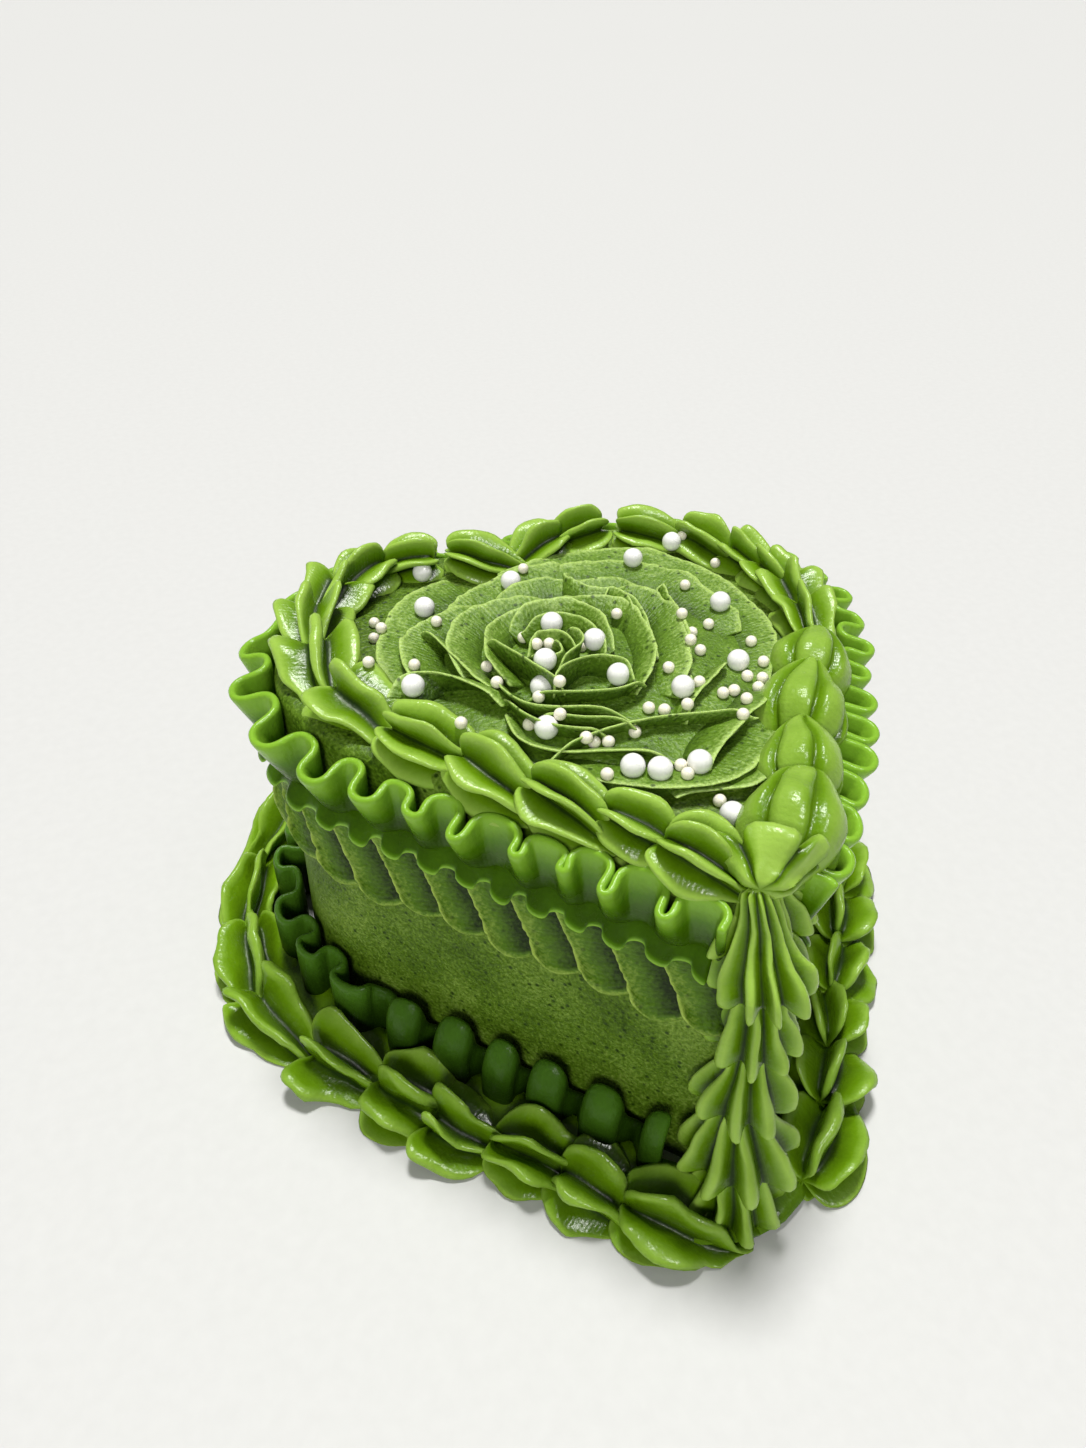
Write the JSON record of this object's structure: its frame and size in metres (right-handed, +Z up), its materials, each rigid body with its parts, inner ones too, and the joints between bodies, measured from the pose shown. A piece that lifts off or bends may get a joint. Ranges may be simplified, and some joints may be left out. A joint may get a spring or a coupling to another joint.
{
  "type": "heart cake",
  "caption": "Tall heart-shaped buttercream cake with piped shell borders, wall ruffles, fans up its point and a piped rose with sugar pearls on top.",
  "frame": {"origin": "middle of the footprint, on the surface that the cake stands on", "axes": "+Z up, the point of the heart towards -Y and its cleft towards +Y, +X to the right lobe as seen from the point"},
  "size_m": [0.217, 0.2164, 0.1127],
  "materials": {
    "wall_icing": "smooth spread buttercream, satin, with fine dark specks",
    "rose_icing": "piped buttercream petals, satin, with light ragged rims",
    "shell_icing": "soft glossy piped buttercream with deep grooves",
    "ruffle_icing": "soft glossy piped buttercream with bright rims",
    "frill_icing": "thin pressed buttercream petals, satin",
    "foot_icing": "soft piped buttercream, dark in its hollows"
  },
  "bodies": {
    "root": {"cake_body": "wall_icing", "rose": "rose_icing", "top_shell_border": "shell_icing", "point_fans": "shell_icing", "upper_ruffle": "ruffle_icing", "lower_ruffle": "ruffle_icing", "petal_frill": "frill_icing", "foot_ruffle": "foot_icing", "foot_shell_border": "shell_icing"}
  },
  "joints": []
}
